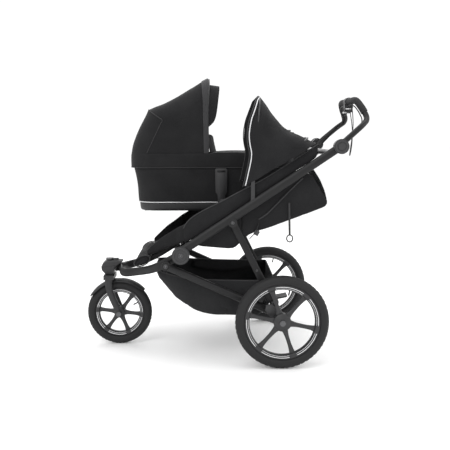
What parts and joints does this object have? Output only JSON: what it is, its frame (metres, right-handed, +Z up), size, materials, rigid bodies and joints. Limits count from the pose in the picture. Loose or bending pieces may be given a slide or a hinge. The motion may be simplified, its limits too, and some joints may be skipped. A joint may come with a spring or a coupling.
{
  "type": "jogging stroller",
  "caption": "Three-wheeled side-by-side double jogging stroller with a reclined seat, a clip-on bassinet, a basket, a tilting handlebar and a folding frame.",
  "frame": {"origin": "on the ground under the middle of the stroller's length and width", "axes": "+Z up, -X towards the front wheel, -Y towards the stroller's left side"},
  "size_m": [1.2759, 0.788, 1.2598],
  "materials": {
    "tyre_rubber": "matte",
    "rim_black": "satin",
    "axle_steel": "satin",
    "frame_black": "satin",
    "plastic_black": "matte",
    "bow_plastic": "satin",
    "caliper_grey": "satin",
    "cable_black": "satin",
    "grip_foam": "matte",
    "seat_fabric": "matte",
    "canopy_fabric": "matte",
    "bassinet_fabric": "matte",
    "basket_fabric": "matte",
    "webbing": "matte",
    "reflective_piping": "satin"
  },
  "bodies": {
    "main_frame": {"main_tube_left": "frame_black", "main_tube_right": "frame_black", "pivot_covers": "plastic_black", "seat_frame": "frame_black", "seat_sides": "seat_fabric", "seat_cushions": "seat_fabric", "seat_back_right": "seat_fabric", "seat_head_panel_left": "seat_fabric", "harness": "plastic_black", "canopy_posts": "plastic_black", "canopy_rear_bow_left": "bow_plastic", "canopy_cloth_left": "canopy_fabric", "canopy_folded_right": "canopy_fabric", "adapter_posts": "plastic_black"},
    "seat_back": {"seat_back_left": "seat_fabric", "recline_pull": "webbing"},
    "canopy_bow": {"canopy_front_bow_left": "bow_plastic"},
    "handlebar": {"handlebar": "frame_black", "handlebar_grip": "grip_foam", "brake_perch": "plastic_black", "brake_cables": "cable_black", "wrist_strap": "webbing"},
    "brake_lever": {"brake_lever": "plastic_black"},
    "button_left": {"tilt_button_left": "plastic_black"},
    "button_right": {"tilt_button_right": "plastic_black"},
    "front_frame": {"front_tubes": "frame_black", "steering_head": "plastic_black", "footrest_pad": "seat_fabric", "leg_rests": "seat_fabric"},
    "swivel_lock": {"swivel_lock_lever": "plastic_black"},
    "fork": {"fork": "plastic_black", "front_axle": "axle_steel", "fender": "plastic_black"},
    "front_wheel": {"front_wheel_tyre": "tyre_rubber", "front_wheel_rim": "rim_black"},
    "rear_chassis": {"rear_axle": "axle_steel", "wheel_releases": "plastic_black", "lower_stays": "frame_black", "axle_brackets": "plastic_black", "suspension_housings": "plastic_black", "brake_calipers": "caliper_grey", "basket": "basket_fabric", "basket_nose": "basket_fabric"},
    "parking_pedal": {"parking_pedal": "plastic_black"},
    "rear_struts": {"struts": "frame_black"},
    "rear_wheel_left": {"rear_wheel_left_tyre": "tyre_rubber", "rear_wheel_left_rim": "rim_black"},
    "rear_wheel_right": {"rear_wheel_right_tyre": "tyre_rubber", "rear_wheel_right_rim": "rim_black"},
    "bassinet": {"bassinet_tray": "plastic_black", "bassinet_tub": "bassinet_fabric", "bassinet_rail": "bassinet_fabric", "bassinet_mattress": "bassinet_fabric", "bassinet_apron": "bassinet_fabric", "hood_cloth": "canopy_fabric", "hood_end_cloth": "canopy_fabric", "hood_rear_bow": "bow_plastic"},
    "hood_bow": {"hood_front_bow": "bow_plastic", "hood_visor": "canopy_fabric"}
  },
  "joints": [
    {"name": "fold", "type": "hinge", "parent": "main_frame", "child": "front_frame", "pos_m": [-0.183, 0, 0.48], "axis": [0, 1, 0], "range_deg": [-52, 0]},
    {"name": "rear_fold", "type": "hinge", "parent": "front_frame", "child": "rear_chassis", "pos_m": [-0.249, 0, 0.426], "axis": [0, 1, 0], "range_deg": [0, 41.5], "deforming": ["basket_nose"]},
    {"name": "strut_fold", "type": "hinge", "parent": "main_frame", "child": "rear_struts", "pos_m": [0.038, 0, 0.619], "axis": [0, 1, 0], "range_deg": [-16, 0]},
    {"name": "rear_wheel_left_spin", "type": "hinge", "parent": "rear_chassis", "child": "rear_wheel_left", "pos_m": [0.247, -0.365, 0.2], "axis": [0, 1, 0], "continuous": true},
    {"name": "rear_wheel_right_spin", "type": "hinge", "parent": "rear_chassis", "child": "rear_wheel_right", "pos_m": [0.247, 0.365, 0.2], "axis": [0, 1, 0], "continuous": true},
    {"name": "fork_swivel", "type": "hinge", "parent": "front_frame", "child": "fork", "pos_m": [-0.532, 0, 0.37], "axis": [0, 0, 1], "continuous": true},
    {"name": "front_wheel_spin", "type": "hinge", "parent": "fork", "child": "front_wheel", "pos_m": [-0.487, 0, 0.1525], "axis": [0, 1, 0], "continuous": true},
    {"name": "swivel_lock_turn", "type": "hinge", "parent": "front_frame", "child": "swivel_lock", "pos_m": [-0.532, 0, 0.403], "axis": [0, 0, 1], "range_deg": [0, 90]},
    {"name": "handlebar_tilt", "type": "hinge", "parent": "main_frame", "child": "handlebar", "pos_m": [0.497, 0, 0.942], "axis": [0, 1, 0], "range_deg": [-40, 60]},
    {"name": "brake_squeeze", "type": "hinge", "parent": "handlebar", "child": "brake_lever", "pos_m": [0.592, 0, 1.104], "axis": [1, 0, 0], "range_deg": [0, 10], "stiffness_Nm_per_rad": 1.2, "springref_deg": -5.73},
    {"name": "tilt_button_left_press", "type": "slide", "parent": "main_frame", "child": "button_left", "axis": [0, 1, 0], "range_m": [0, 0.003], "stiffness_N_per_m": 400, "springref_m": -0.002},
    {"name": "tilt_button_right_press", "type": "slide", "parent": "main_frame", "child": "button_right", "axis": [0, -1, 0], "range_m": [0, 0.003], "stiffness_N_per_m": 400, "springref_m": -0.002},
    {"name": "seat_back_recline", "type": "hinge", "parent": "main_frame", "child": "seat_back", "pos_m": [0.094, 0, 0.568], "axis": [0, 1, 0], "range_deg": [-30, 0], "deforming": ["seat_head_panel_left"]},
    {"name": "canopy_open", "type": "hinge", "parent": "main_frame", "child": "canopy_bow", "pos_m": [0.124, 0, 0.82], "axis": [0, 1, 0], "range_deg": [-25, 45], "deforming": ["canopy_cloth_left"]},
    {"name": "bassinet_lift", "type": "slide", "parent": "main_frame", "child": "bassinet", "axis": [-0.342, 0, 0.9397], "range_m": [0, 0.25]},
    {"name": "hood_open", "type": "hinge", "parent": "bassinet", "child": "hood_bow", "pos_m": [-0.072, 0.1585, 0.914], "axis": [0, 1, 0], "range_deg": [-45, 0], "deforming": ["hood_cloth"]},
    {"name": "parking_pedal_press", "type": "hinge", "parent": "rear_chassis", "child": "parking_pedal", "pos_m": [0.247, 0, 0.2], "axis": [0, 1, 0], "range_deg": [0, 25]}
  ],
  "couplings": [
    {"joint": "rear_fold", "follows": "fold", "ratio": -0.788},
    {"joint": "strut_fold", "follows": "fold", "ratio": 0.298}
  ]
}
